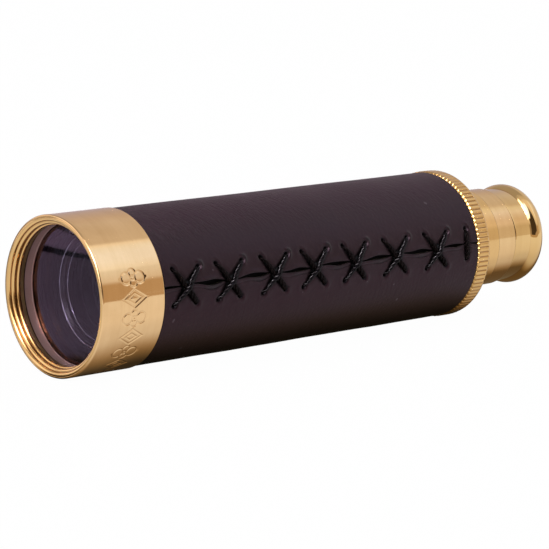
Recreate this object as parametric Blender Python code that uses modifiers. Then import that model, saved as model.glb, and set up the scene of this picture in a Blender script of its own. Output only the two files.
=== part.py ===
"""Three-draw pocket telescope (spyglass), brass with a laced leather sleeve.

The optical axis is world X. The objective looks towards -X and the eyepiece is
at +X. +Z is up, and the origin is on the optical axis at mid length with all
draws pushed in. Sizes are in millimetres and MM turns them into metres. Every
station along the tube is measured from the front rim of the objective bezel,
so world X = station - LENGTH / 2.
"""

import math
from collections import namedtuple

import bmesh
import bpy

MM = 0.001

# ------------------------------------------------------------ shared dimensions
LENGTH = 139.9            # closed length over all

N_OUT = 48                # facets round an outside piece
N_IN = 32                 # facets round an inside or sliding piece
N_GLASS = 24              # facets round a small lens or its rings
LENS_STEPS = 3            # steps from the axis to the edge of a lens face
SMOOTH_ANGLE = math.radians(35.0)    # edges that turn more than this are sharp

SLIDE_GAP = 0.1           # radial clearance of pieces that slide or turn
HOLE_GAP = 0.15           # radial clearance of a tube in the end of a collar
SHUT_GAP = 0.2            # between neighbouring collars, all draws pushed in
END_WALL = 1.5            # end wall of a collar or ferrule

BEZEL_R = 17.5
BEZEL_END = 16.4
TUBE_R, TUBE_BORE = 16.0, 15.2
TUBE_START, TUBE_END = 11.6, 112.7
COLLAR_R = BEZEL_R
COLLAR_START, COLLAR_END = 110.7, 114.5

# The draw tubes, outermost first. Each carries a spool (its stop ring) near its
# front end, with a friction ring in the groove of the spool.
Draw = namedtuple(
    "Draw", "radius bore front rear spool_start hub flange friction_bore friction_radius"
)
DRAWS = (
    Draw(11.6, 11.1, 12.2, 121.5, 11.0, 12.7, 14.95, 12.85, 15.05),
    Draw(9.9, 9.4, 15.0, 127.5, 15.4, 10.3, 10.95, 10.4, 11.0),
    Draw(8.2, 7.7, 17.0, 134.5, 17.4, 8.6, 9.25, 8.7, 9.3),
)
SPOOL_LENGTH = 6.0
SPOOL_FLANGE = 1.2        # thickness of each flange
TRAVEL = 74.0             # how far each draw slides out
STOP_GAP = 0.6            # left between spool and bush at full travel

# ------------------------------------------------------------------- materials
MATERIALS = {
    "brass": dict(colour=(0.64, 0.43, 0.19, 1.0), roughness=0.28, metallic=1.0),
    "brass_pale": dict(colour=(0.68, 0.50, 0.30, 1.0), roughness=0.32, metallic=1.0),
    "black_metal": dict(colour=(0.015, 0.014, 0.014, 1.0), roughness=0.55, metallic=0.4),
    "leather": dict(colour=(0.035, 0.022, 0.026, 1.0), roughness=0.62),
    "cord": dict(colour=(0.010, 0.009, 0.009, 1.0), roughness=0.55),
    "felt": dict(colour=(0.05, 0.07, 0.05, 1.0), roughness=0.95),
    "glass": dict(colour=(0.90, 0.86, 0.95, 0.35), roughness=0.03, transmission=0.9),
}


def make_material(name, colour, roughness, metallic=0.0, transmission=0.0):
    material = bpy.data.materials.new(name)
    material.use_nodes = True
    inputs = material.node_tree.nodes["Principled BSDF"].inputs
    inputs["Base Color"].default_value = colour
    inputs["Roughness"].default_value = roughness
    inputs["Metallic"].default_value = metallic
    inputs["Transmission Weight"].default_value = transmission
    material.diffuse_color = colour
    return material


# ----------------------------------------------------------------- clean start
for old in list(bpy.data.objects):
    bpy.data.objects.remove(old, do_unlink=True)

parts = bpy.data.collections.new("brass_telescope")
cutters = bpy.data.collections.new("cutters")
for collection in (parts, cutters):
    bpy.context.scene.collection.children.link(collection)
materials = {name: make_material(name, **look) for name, look in MATERIALS.items()}


# --------------------------------------------------------------------- helpers
def world_x(station):
    return (station - LENGTH / 2) * MM


def add_object(name, data):
    obj = bpy.data.objects.new(name, data)
    parts.objects.link(obj)
    return obj


def place(obj, station, parent):
    """Put the origin on the axis at a station. Parents carry their own station."""
    obj.parent = parent
    parent_x = world_x(parent["station"]) if parent else 0.0
    obj.location = (world_x(station) - parent_x, 0.0, 0.0)


def joint_empty(name, station, parent=None):
    """An empty on the optical axis, which is the axis of every slide and turn."""
    empty = add_object(name, None)
    empty.empty_display_size = 0.01
    empty["station"] = station
    place(empty, station, parent)
    return empty


def baked_mesh(obj, name):
    """The object's shape as a new mesh, with its modifiers or bevel applied."""
    evaluated = obj.evaluated_get(bpy.context.evaluated_depsgraph_get())
    mesh = bpy.data.meshes.new_from_object(evaluated)
    mesh.name = name
    return mesh


def finish(mesh, material):
    mesh.materials.clear()
    mesh.materials.append(materials[material])
    mesh.shade_smooth()
    mesh.set_sharp_from_angle(angle=SMOOTH_ANGLE)


def turned(name, outline, facets, material, parent, closed=True):
    """A turned piece: outline is (station, radius) pairs, walked once round.

    It is drawn beside the local Z axis, spun by a Screw modifier and laid over
    so that local Z is world X. An outline that isn't closed starts and ends on
    the axis.
    """
    base = min(station for station, radius in outline)
    double_area = 0.0
    for (station_a, radius_a), (station_b, radius_b) in zip(
        outline, outline[1:] + outline[:1]
    ):
        double_area += radius_a * station_b - radius_b * station_a
    if double_area > 0:               # the outer side has to run downwards
        outline = outline[::-1]

    half_facet = math.pi / facets
    mesh = bpy.data.meshes.new(name)
    builder = bmesh.new()
    corners = [
        builder.verts.new((
            radius * MM * math.cos(half_facet),
            radius * MM * math.sin(half_facet),
            (station - base) * MM,
        ))
        for station, radius in outline
    ]
    for pair in zip(corners, corners[1:]):
        builder.edges.new(pair)
    if closed:
        builder.edges.new((corners[-1], corners[0]))
    builder.to_mesh(mesh)
    builder.free()

    obj = add_object(name, mesh)
    spin = obj.modifiers.new("spin", "SCREW")
    spin.axis = "Z"
    spin.angle = 2 * math.pi
    spin.steps = facets
    spin.render_steps = facets
    spin.use_merge_vertices = True
    spin.merge_threshold = 0.00001
    spin.use_smooth_shade = True
    obj.rotation_euler = (0.0, math.pi / 2, 0.0)
    place(obj, base, parent)
    # real faces, so that the smooth and sharp marks are kept
    solid = baked_mesh(obj, name)
    obj.modifiers.clear()
    obj.data = solid
    finish(solid, material)
    return obj


def ring(name, start, end, inner, outer, facets, material, parent):
    outline = [(start, inner), (start, outer), (end, outer), (end, inner)]
    return turned(name, outline, facets, material, parent)


def cap(name, start, end, outer, bore, hole, front_chamfer, rear_chamfer, parent):
    """A brass collar over the end of a tube, with a hole in its rear wall."""
    outline = [
        (start, bore), (start, outer - front_chamfer),
        (start + front_chamfer, outer), (end - rear_chamfer, outer),
        (end, outer - rear_chamfer), (end, hole),
        (end - END_WALL, hole), (end - END_WALL, bore),
    ]
    turned(name, outline, N_OUT, "brass", parent)


def sag(curvature_radius, height):
    """Depth of a spherical face at this height off the axis; radius 0 is flat."""
    if curvature_radius == 0:
        return 0.0
    size = abs(curvature_radius)
    return math.copysign(size - math.sqrt(size * size - height * height), curvature_radius)


def lens(name, front, rear, front_radius, rear_radius, half_width, facets, parent):
    """Glass between two spherical faces. A radius is + if its centre is at +X."""
    heights = [half_width * i / LENS_STEPS for i in range(LENS_STEPS + 1)]
    outline = [(front + sag(front_radius, height), height) for height in heights]
    outline += [(rear + sag(rear_radius, height), height) for height in reversed(heights)]
    turned(name, outline, facets, "glass", parent, closed=False)


def bush_front(draw):
    """Front of the bush that the draw's spool nearly meets at full travel."""
    return draw.spool_start + SPOOL_LENGTH + TRAVEL + STOP_GAP


# ---------------------------------------------------------------------- joints
barrel = joint_empty("barrel_axis", LENGTH / 2)
slide_axes, draw_axes = [], []
holder = barrel
for number, draw in enumerate(DRAWS, 1):
    slide_axes.append(joint_empty("slide_%d_axis" % number, draw.spool_start, holder))
    holder = joint_empty("draw_%d_axis" % number, draw.front, slide_axes[-1])
    draw_axes.append(holder)

# ------------------------------------------------------------------- objective
LIP_R = 15.2              # clear aperture of the objective
LIP_END = 2.45            # rear of the lip, where the glass cell starts
CELL_R = 15.85            # bore that holds the objective glass
GLASS_R = 15.6
CELL_END = 11.3           # step from the cell out to the barrel tube
CEMENTED_RADIUS = -108.0  # of the two faces that meet between crown and flint

# (station, radius), from the rear outer edge forwards and back along the bore
BEZEL_OUTLINE = [
    (BEZEL_END, BEZEL_R), (0.35, BEZEL_R), (0.0, 17.2), (0.0, 16.6),
    (0.62, 16.05), (0.92, 15.98), (1.5, 15.52), (1.78, 15.46),
    (2.3, LIP_R), (LIP_END, LIP_R), (LIP_END, CELL_R), (CELL_END, CELL_R),
    (CELL_END, TUBE_R + HOLE_GAP), (BEZEL_END, TUBE_R + HOLE_GAP),
]
turned("objective_bezel", BEZEL_OUTLINE, N_OUT, "brass", barrel)

# name, start, end, inner radius
OBJECTIVE_RINGS = (
    ("objective_seat_ring", 2.95, 3.5, 15.3),
    ("objective_retaining_ring", 8.6, 10.5, 14.5),
)
for name, start, end, inner in OBJECTIVE_RINGS:
    ring(name, start, end, inner, GLASS_R, N_IN, "black_metal", barrel)

# name, front and rear station on the axis, radius of front and rear face
OBJECTIVE_LENSES = (
    ("objective_crown_lens", 2.75, 7.0, 112.0, CEMENTED_RADIUS),
    ("objective_flint_lens", 7.15, 8.1, CEMENTED_RADIUS, -620.0),
)
for name, front, rear, front_radius, rear_radius in OBJECTIVE_LENSES:
    lens(name, front, rear, front_radius, rear_radius, GLASS_R, N_IN, barrel)

# ---------------------------------------------------------------------- barrel
ring("barrel_tube", TUBE_START, TUBE_END, TUBE_BORE, TUBE_R, N_IN, "brass", barrel)

cap(
    "knurled_collar", COLLAR_START, COLLAR_END, outer=COLLAR_R,
    bore=TUBE_R + HOLE_GAP, hole=DRAWS[0].radius + HOLE_GAP,
    front_chamfer=0.35, rear_chamfer=0.25, parent=barrel,
)

# The sleeve that guides the first draw: thick at both ends, slim between them.
BUSH_R, BUSH_WAIST_R = 15.05, 12.6
BUSH_RIM = 3.0            # length of each thick end
start, bore = bush_front(DRAWS[0]), DRAWS[0].radius + HOLE_GAP
turned(
    "barrel_guide_bush",
    [
        (start, bore), (start, BUSH_R), (start + BUSH_RIM, BUSH_R),
        (start + BUSH_RIM, BUSH_WAIST_R), (TUBE_END - BUSH_RIM, BUSH_WAIST_R),
        (TUBE_END - BUSH_RIM, BUSH_R), (TUBE_END, BUSH_R), (TUBE_END, bore),
    ],
    N_IN, "brass", barrel,
)

# -------------------------------------------------------------- leather sleeve
LEATHER_R, LEATHER_BORE = 17.33, 16.2
LEATHER_GAP = 0.3         # to the bezel in front and the collar behind
LEATHER_START = BEZEL_END + LEATHER_GAP
LEATHER_END = COLLAR_START - LEATHER_GAP
SEAM_ANGLE = math.radians(7.2)     # above the side that faces -Y
SEAM_WIDTH = 0.7
BLADE_DEPTH = 6.0         # across the thickness of the leather
BLADE_EXTRA = 4.0         # length of blade beyond that of the leather


def seam_cutter():
    """A blade along the seam, where the two edges of the leather meet."""
    bpy.ops.mesh.primitive_cube_add(size=1.0)
    blade = bpy.context.object
    blade.name = "seam_blade"
    length = LEATHER_END - LEATHER_START + BLADE_EXTRA
    blade.scale = (length * MM, BLADE_DEPTH * MM, SEAM_WIDTH * MM)
    bpy.ops.object.transform_apply(location=False, rotation=False, scale=True)
    middle = (LEATHER_R + LEATHER_BORE) / 2
    blade.rotation_euler = (-SEAM_ANGLE, 0.0, 0.0)
    blade.location = (
        world_x((LEATHER_START + LEATHER_END) / 2),
        -middle * MM * math.cos(SEAM_ANGLE),
        middle * MM * math.sin(SEAM_ANGLE),
    )
    blade.hide_render = True
    blade.display_type = "WIRE"
    for collection in list(blade.users_collection):
        collection.objects.unlink(blade)
    cutters.objects.link(blade)
    return blade


leather = ring(
    "leather_wrap", LEATHER_START, LEATHER_END, LEATHER_BORE, LEATHER_R,
    N_OUT, "leather", barrel,
)
slit = leather.modifiers.new("seam", "BOOLEAN")
slit.operation = "DIFFERENCE"
slit.object = seam_cutter()

# ---------------------------------------------------------------------- lacing
CORD_R = 0.45
CORD_GAP = 0.08           # between the cord and the leather
CORD_CROWN = 0.35         # how far the upper strand rises over the lower one
STRAND_POINTS = 5
STITCH_STATIONS = (22.5, 34.6, 47.3, 59.1, 71.1, 84.0, 97.1)
# girth is measured round the leather, upwards from the -Y side
STITCH_TOP, STITCH_FOOT = 6.1, -1.7
# front and rear corners of a cross, along the tube from its station
TOP_FRONT, TOP_REAR = -3.2, 4.05
FOOT_FRONT, FOOT_REAR = -3.25, 2.95
END_STATION = 107.2       # the single strand behind the crosses
END_LEAN = 0.25           # its ends lie this far behind and ahead of its station
END_FOOT = STITCH_FOOT + 0.7


def strand(name, start, end, crown):
    """A strand of cord over the leather, from one (offset, girth) to another."""
    lay = LEATHER_R + CORD_GAP + CORD_R
    curve = bpy.data.curves.new(name, "CURVE")
    curve.dimensions = "3D"
    curve.bevel_depth = CORD_R * MM
    curve.bevel_resolution = 1
    curve.use_fill_caps = True
    spline = curve.splines.new("POLY")
    spline.points.add(STRAND_POINTS - 1)
    for i, point in enumerate(spline.points):
        share = i / (STRAND_POINTS - 1)
        x = start[0] + (end[0] - start[0]) * share
        girth = start[1] + (end[1] - start[1]) * share
        radius = lay + crown * math.sin(math.pi * share)
        angle = girth / LEATHER_R
        point.co = (
            x * MM, -radius * MM * math.cos(angle), radius * MM * math.sin(angle), 1.0,
        )
    path = add_object(name, curve)
    mesh = baked_mesh(path, name)
    bpy.data.objects.remove(path, do_unlink=True)

    # weld the caps to the tube, so that a Boolean can use the mesh
    builder = bmesh.new()
    builder.from_mesh(mesh)
    bmesh.ops.remove_doubles(builder, verts=builder.verts, dist=0.00001)
    bmesh.ops.recalc_face_normals(builder, faces=builder.faces)
    builder.to_mesh(mesh)
    builder.free()
    return add_object(name, mesh)


def cross_mesh():
    """Two crossing strands joined into one solid, shared by all the crosses."""
    under = strand("cross_under", (TOP_FRONT, STITCH_TOP), (FOOT_REAR, STITCH_FOOT), 0.0)
    over = strand(
        "cross_over", (TOP_REAR, STITCH_TOP), (FOOT_FRONT, STITCH_FOOT), CORD_CROWN
    )
    join = under.modifiers.new("join", "BOOLEAN")
    join.operation = "UNION"
    join.object = over
    mesh = baked_mesh(under, "cross_stitch")
    for obj in (under, over):
        bpy.data.objects.remove(obj, do_unlink=True)
    finish(mesh, "cord")
    return mesh


cross = cross_mesh()
for number, station in enumerate(STITCH_STATIONS, 1):
    place(add_object("cross_stitch_%d" % number, cross), station, barrel)

end_stitch = strand("end_stitch", (END_LEAN, STITCH_TOP), (-END_LEAN, END_FOOT), 0.0)
place(end_stitch, END_STATION, barrel)
finish(end_stitch.data, "cord")

# ------------------------------------------------------------------- the draws
COUNTERSINK = 0.8         # at the front mouth of the first stop ring
FRICTION_GAP = 0.3        # between a friction ring and each flange


def stop_ring(name, draw, countersink, parent):
    """A spool that keeps the draw from leaving the tube outside it."""
    start = draw.spool_start
    end = start + SPOOL_LENGTH
    bore = draw.radius + SLIDE_GAP
    outline = [
        (start, bore + countersink), (start, draw.flange),
        (start + SPOOL_FLANGE, draw.flange), (start + SPOOL_FLANGE, draw.hub),
        (end - SPOOL_FLANGE, draw.hub), (end - SPOOL_FLANGE, draw.flange),
        (end, draw.flange), (end, bore),
    ]
    if countersink:
        outline.append((start + countersink, bore))
    turned(name, outline, N_IN, "brass", parent)


def friction_ring(name, draw, parent):
    """A felt ring in the groove of the spool."""
    inset = SPOOL_FLANGE + FRICTION_GAP
    ring(
        name, draw.spool_start + inset, draw.spool_start + SPOOL_LENGTH - inset,
        draw.friction_bore, draw.friction_radius, N_IN, "felt", parent,
    )


for number, (draw, slide_axis, axis) in enumerate(zip(DRAWS, slide_axes, draw_axes), 1):
    ring(
        "draw_tube_%d" % number, draw.front, draw.rear, draw.bore, draw.radius,
        N_IN, "brass_pale", axis,
    )
    stop_ring("stop_ring_%d" % number, draw, COUNTERSINK if number == 1 else 0.0, axis)
    friction_ring("friction_ring_%d" % number, draw, slide_axis)

# Ferrule and guide bush at the rear of the first two draws.
FERRULES = ((12.2, 123.3), (11.7, 129.45))     # outside radius, rear station
next_start = COLLAR_END + SHUT_GAP
for i, (outer, end) in enumerate(FERRULES):
    draw, inner_draw = DRAWS[i], DRAWS[i + 1]
    hole = inner_draw.radius + HOLE_GAP
    cap(
        "ferrule_%d" % (i + 1), next_start, end, outer=outer,
        bore=draw.radius + SLIDE_GAP, hole=hole,
        front_chamfer=0.25, rear_chamfer=0.35, parent=draw_axes[i],
    )
    ring(
        "guide_bush_%d" % (i + 1), bush_front(inner_draw), draw.rear,
        hole, draw.bore - SLIDE_GAP, N_IN, "brass", draw_axes[i],
    )
    next_start = end + SHUT_GAP

# -------------------------------------------------------- eyepiece and erector
# All of these ride on the last draw. The erector turns the picture upright.
eye_axis = draw_axes[-1]
CUP_BORE = DRAWS[-1].radius + SLIDE_GAP
CUP_SHOULDER = 134.8      # step in the bore, just behind the draw tube
FIT_R = 7.5               # outside of the rings and cell in the last draw
EYE_GLASS_R = 7.4
CELL_BORE = 6.9
CELL_FIT_R = 6.75         # outside of the rings in the erector cell
ERECTOR_GLASS_R = 6.6

# (station, radius), back along the outside and forwards along the bore
CUP_OUTLINE = [
    (next_start, CUP_BORE), (next_start, 10.8), (next_start + 0.4, 11.2), (134.25, 11.2),
    (135.45, 11.33), (136.6, 11.72), (137.6, 11.94), (138.75, 11.65), (139.59, 10.84),
    (LENGTH, 9.74), (LENGTH, 9.3), (138.3, 5.2), (137.5, 5.2),
    (137.5, 7.7), (CUP_SHOULDER, 7.7), (CUP_SHOULDER, CUP_BORE),
]
turned("eyepiece_cup", CUP_OUTLINE, N_OUT, "brass", eye_axis)

# name, start, end, inner radius, outer radius
EYE_RINGS = (
    ("eyepiece_spacer", 121.9, 136.3, 6.9, FIT_R),
    ("field_stop", 121.0, 121.6, 4.5, FIT_R),
    ("eyepiece_retaining_ring", 114.9, 116.9, 6.5, FIT_R),
    ("erector_cell", 24.0, 62.0, CELL_BORE, FIT_R),
    ("erector_ring_front", 24.3, 26.6, 5.7, CELL_FIT_R),
    ("erector_stop", 43.0, 43.6, 2.2, CELL_FIT_R),
    ("erector_ring_rear", 59.6, 61.8, 5.7, CELL_FIT_R),
)
for row in EYE_RINGS:
    ring(*row, N_GLASS, "black_metal", eye_axis)

# name, front and rear station on the axis, radius of front and rear face
# (0 is flat), half width
EYE_LENSES = (
    ("eye_lens", CUP_SHOULDER, 137.3, 14.0, 0, EYE_GLASS_R),
    ("field_lens", 117.2, 120.6, 16.0, 0, EYE_GLASS_R),
    ("erector_lens_front", 27.2, 29.9, 0, -17.0, ERECTOR_GLASS_R),
    ("erector_lens_rear", 56.6, 59.3, 17.0, 0, ERECTOR_GLASS_R),
)
for row in EYE_LENSES:
    lens(*row, N_GLASS, eye_axis)
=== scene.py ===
"""A brass draw telescope with a laced leather sleeve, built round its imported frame.

The tube's axis is the X axis, with the objective at the low end and the eyepiece at
the high end. Stations are millimetres along the tube from the front rim of the
objective bezel; girths are millimetres round it, from the side that faces -Y, upwards.
Outlines are lists of (station, radius).
"""

import math

import bpy
import numpy as np
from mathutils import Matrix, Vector


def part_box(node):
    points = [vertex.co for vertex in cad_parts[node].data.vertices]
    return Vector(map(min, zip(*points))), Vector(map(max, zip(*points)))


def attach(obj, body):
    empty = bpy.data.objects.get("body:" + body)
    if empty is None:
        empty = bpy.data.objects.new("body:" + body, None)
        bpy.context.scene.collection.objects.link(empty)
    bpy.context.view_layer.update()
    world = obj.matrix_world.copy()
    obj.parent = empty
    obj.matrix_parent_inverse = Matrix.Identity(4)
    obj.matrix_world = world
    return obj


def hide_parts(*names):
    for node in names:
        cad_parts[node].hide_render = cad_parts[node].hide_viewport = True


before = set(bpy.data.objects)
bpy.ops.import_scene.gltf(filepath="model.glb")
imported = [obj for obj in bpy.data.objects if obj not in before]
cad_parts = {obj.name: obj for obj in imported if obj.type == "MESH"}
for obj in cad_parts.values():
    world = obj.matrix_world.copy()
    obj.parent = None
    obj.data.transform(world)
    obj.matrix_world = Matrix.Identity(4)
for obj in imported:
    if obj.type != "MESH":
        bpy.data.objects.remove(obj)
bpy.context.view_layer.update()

MM = 0.001
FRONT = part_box("objective_bezel")[0][0]        # world X of station 0
DEGREES = 180 / math.pi                        # in a radian

# ---- sizes that several pieces share, in mm ----
BEZEL_R = 17.5
SEAT_R = 15.6                                  # rim of the objective glasses
TUBE_BORE, TUBE_R = 15.2, 16.0                 # the barrel's body tube
TUBE_REAR = 112.7
SLEEVE_R, SLEEVE_BORE = 17.26, 16.2            # the leather sleeve
SLEEVE_START, SLEEVE_END = 16.45, 110.65
TEETH = 95                                     # of the knurled collar
SLIDE_GAP = 0.15                               # round a drawn tube, in its bore

# The drawn tubes, largest first:
# radius, bore, front, rear; spool's front, hub and flange radius; felt's inner and outer radius
DRAWS = [
    (11.6, 11.1, 12.2, 121.5, 11.0, 12.7, 14.95, 12.85, 15.05),
    (9.9, 9.4, 15.0, 127.5, 15.4, 10.3, 10.95, 10.4, 11.0),
    (8.2, 7.7, 17.0, 134.5, 17.4, 8.6, 9.25, 8.7, 9.3),
]
DRAW_BODIES = ["draw_1", "draw_2", "eyepiece_draw"]


def lerp(a, b, t):
    return a + (b - a) * t


def smooth(a, b, x):
    t = np.clip((np.asarray(x, float) - a) / (b - a), 0.0, 1.0)
    return t * t * (3 - 2 * t)


def bell(x, width):
    """One at zero, falling off over width on both sides."""
    return np.exp(-(x / width) ** 2)


# =====================================================================
# shader helpers
# =====================================================================
def operator(operation, swapped=False):
    """A Python operator that adds a Math node."""
    def apply(self, other):
        pair = (other, self) if swapped else (self, other)
        return self.nodes.math(operation, *pair)
    return apply


class Field:
    """A node's output. Arithmetic on it adds Math nodes; [key] is another output."""

    def __init__(self, nodes, socket):
        self.nodes, self.socket = nodes, socket

    def __getitem__(self, key):
        return Field(self.nodes, self.socket.node.outputs[key])

    def __abs__(self):
        return self.nodes.math("ABSOLUTE", self)

    __add__, __radd__ = operator("ADD"), operator("ADD", swapped=True)
    __sub__, __rsub__ = operator("SUBTRACT"), operator("SUBTRACT", swapped=True)
    __mul__ = operator("MULTIPLY")
    __pow__ = operator("POWER")


class Nodes:
    """A thin layer over a node tree, so that a material reads like a formula."""

    def __init__(self, tree, output):
        self.tree = tree
        self.tree.nodes.clear()
        self.output = self.tree.nodes.new(output)

    def node(self, kind, *inputs, **named):
        """Add a node and give its first output.

        Inputs come in order, or by name with _ for a space. Input names start
        with a capital; lower-case names are settings of the node.
        """
        node = self.tree.nodes.new("ShaderNode" + kind)
        for key, value in named.items():
            if key[0].islower():
                setattr(node, key, value)
            else:
                self.put(node.inputs[key.replace("_", " ")], value)
        for k, value in enumerate(inputs):
            self.put(node.inputs[k], value)
        return Field(self, node.outputs[0])

    def put(self, socket, value):
        if isinstance(value, Field):
            self.tree.links.new(value.socket, socket)
        elif value is None:
            return
        elif socket.type == "RGBA" and len(value) == 3:
            socket.default_value = (*value, 1.0)
        else:
            socket.default_value = value

    def surface(self, shader):
        self.put(self.output.inputs["Surface"], shader)

    def principled(self, **inputs):
        self.surface(self.node("BsdfPrincipled", **inputs))

    def mix_shader(self, factor, a, b):
        return self.node("MixShader", factor, a, b)

    def math(self, operation, a, b=None):
        return self.node("Math", a, b, operation=operation)

    def ramp(self, value, span, to=(0.0, 1.0), kind="SMOOTHSTEP"):
        """Take the span, which may run downwards, to another range."""
        return self.node("MapRange", value, *span, *to, interpolation_type=kind)

    def window(self, value, span, soft):
        """One inside the span, falling to nothing over soft on either side."""
        low, high = span
        return self.ramp(value, (low - soft, low)) * self.ramp(value, (high + soft, high))

    def mix(self, factor, a, b, blend="MIX"):
        # the colour inputs of the node are its seventh and eighth
        skipped = [None] * 5
        return self.node("Mix", factor, *skipped, a, b, data_type="RGBA", blend_type=blend)[2]

    def levels(self, value, stops):
        """Colours (or greys) at rising values, joined by straight lines.

        The ramp holds half of each level, so that levels can pass one.
        """
        low, high, scale = stops[0][0], stops[-1][0], 2.0
        t = self.ramp(value, (low, high), kind="LINEAR")
        ramp = self.node("ValToRGB", t)
        elements = ramp.socket.node.color_ramp.elements
        while len(elements) < len(stops):
            elements.new(0.5)
        for element, (at, level) in zip(elements, stops):
            rgb = level if isinstance(level, tuple) else (level, level, level)
            element.position = (at - low) / (high - low)
            element.color = (*[c / scale for c in rgb], 1.0)
        return self.mix(1.0, ramp, (scale, scale, scale), "MULTIPLY")

    def noise(self, vector, scale, detail=3.0, rough=0.5, distortion=0.0):
        return self.node("TexNoise", Vector=vector, Scale=scale, Detail=detail,
                         Roughness=rough, Distortion=distortion)

    def combine(self, x, y, z):
        return self.node("CombineXYZ", x, y, z)

    def separate(self, vector):
        split = self.node("SeparateXYZ", vector)
        return [split[axis] for axis in "XYZ"]

    def crevice(self, reach, span):
        """One deep in corners; reach in metres, span is the openness it fades over."""
        openness = self.node("AmbientOcclusion", samples=8, Distance=reach)["AO"]
        return self.ramp(openness, span, to=(1.0, 0.0))

    def bump(self, height, strength, depth, below=None):
        """Depth in metres; below is the normal that this bump lies on."""
        return self.node("Bump", Height=height, Strength=strength, Distance=depth, Normal=below)

    def object_coords(self):
        return self.node("TexCoord")["Object"]

    def tube_coords(self):
        """Position, then mm along the tube, mm off its axis and the angle round it."""
        coord = self.object_coords()
        x, y, z = self.separate(coord)
        along = (x - FRONT) * 1000.0
        radius = self.math("SQRT", y * y + z * z) * 1000.0
        angle = self.math("ARCTAN2", z, y * -1.0)
        return coord, along, radius, angle


def material(name):
    mat = bpy.data.materials.new(name)
    mat.use_nodes = True
    return mat, Nodes(mat.node_tree, "ShaderNodeOutputMaterial")


def scaled(tone, factor):
    return tuple(c * factor for c in tone)


# =====================================================================
# materials
# =====================================================================
WHITE = (1.0, 1.0, 1.0)
# shade is painted into the collar's grooves between these stations
TOOTH_BAND = (111.15, 113.95)                  # stations of the collar's darkened grooves


def brass(name, light, deep, rough, marks, crease_mix, aniso, reach=0.0005, joints=(),
          rim_shade=0.0, teeth=0, lacquer=0.0, under=0.0):
    """Turned and polished brass: rings of fine tool marks, tarnish and painted shade in corners.

    The marks run round the tube, so they blur reflections along it (aniso).
    marks: depth of the rings. crease_mix, reach: how far tarnish and painted shade
    darken the corners, and how far (m) that spreads. joints: (station, half a width,
    least radius, strength) of dark lines between screwed pieces. rim_shade: how much
    shade is painted on the very front edge, away from -Y. teeth: number of grooves
    that get painted shade. lacquer: weight of the clear coat. under: how much shade
    is painted on the underside.
    """
    mat, t = material(name)
    coord, along, radius, angle = t.tube_coords()
    rings = t.combine(along, radius, angle * 0.30)
    fine = t.noise(rings, scale=8.0, detail=4.0, rough=0.6)
    broad = t.noise(rings, scale=0.9, detail=2.0)
    cloud = t.noise(coord, scale=110.0, detail=4.0, rough=0.55, distortion=0.3)
    speck = t.ramp(t.noise(coord, scale=1500.0, detail=2.0), span=(0.72, 0.80))
    # tarnish and painted shade: high in the corners that ambient occlusion finds, where it browns
    # and dulls the tone
    crease = t.crevice(reach, span=(0.30, 0.95))

    # clouds of a softened deep tone, then faint broad rings, specks, and tarnish and painted shade
    # in corners
    soft_deep = tuple(lerp(a, b, 0.25) for a, b in zip(light, deep))
    crease_tone = tuple(c * share for c, share in zip(deep, (0.45, 0.36, 0.26)))
    tone = t.mix(t.ramp(cloud, span=(0.30, 0.75)), light, soft_deep)
    tone = t.mix(t.ramp(broad, span=(0.40, 0.75)) * 0.12, tone, deep)
    tone = t.mix(speck * 0.25, tone, deep)
    tone = t.mix(crease * crease_mix, tone, crease_tone)
    # what clouds, tool marks and corners add to the roughness
    dull = rough + t.ramp(cloud, span=(0.35, 0.8)) * 0.035
    dull = dull + t.ramp(fine, span=(0.4, 0.8)) * 0.02
    dull = dull + crease * 0.15

    for station, half, least, strength in joints:
        line = (t.window(along, (station - half, station + half), soft=0.10)
                * t.ramp(radius, (least - 0.08, least), to=(0.0, strength)))
        tone = t.mix(line, tone, (0.085, 0.042, 0.012))
        dull = dull + line * 0.25
    if teeth:
        # painted shade in the knurl's grooves: a dark line at every gap between teeth
        wave = t.math("COSINE", angle * float(teeth))
        line = t.ramp(wave, span=(0.25, 0.95)) * t.window(along, TOOTH_BAND, soft=0.1)
        line = line * t.ramp(radius, span=(17.0, 17.2), to=(0.0, 0.62))
        tone = t.mix(line, tone, (0.28, 0.115, 0.022))
    if under:
        # painted shade: the underside is drawn in the deep tone
        below = t.ramp(t.math("SINE", angle), span=(0.05, -0.40), to=(0.0, under))
        tone = t.mix(below, tone, deep)
    if rim_shade:
        # painted shade along the very front edge, on the side of the tube away from -Y
        line = t.ramp(along, span=(0.34, 0.18)) * t.ramp(abs(angle), span=(1.75, 2.3))
        line = line * t.ramp(radius, span=(16.98, 17.08), to=(0.0, rim_shade))
        tone = t.mix(line, tone, (0.16, 0.085, 0.030))
        dull = dull + line * 0.3

    bump = t.bump(fine, strength=marks, depth=0.000006)
    bump = t.bump(cloud, strength=0.08, depth=0.00003, below=bump)
    t.principled(
        Base_Color=tone, Metallic=1.0, Roughness=dull, Normal=bump, Anisotropic=aniso,
        Anisotropic_Rotation=0.25, Tangent=t.node("Tangent", direction_type="RADIAL", axis="X"),
        Coat_Weight=lacquer, Coat_Roughness=0.06,
    )
    return mat


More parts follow.
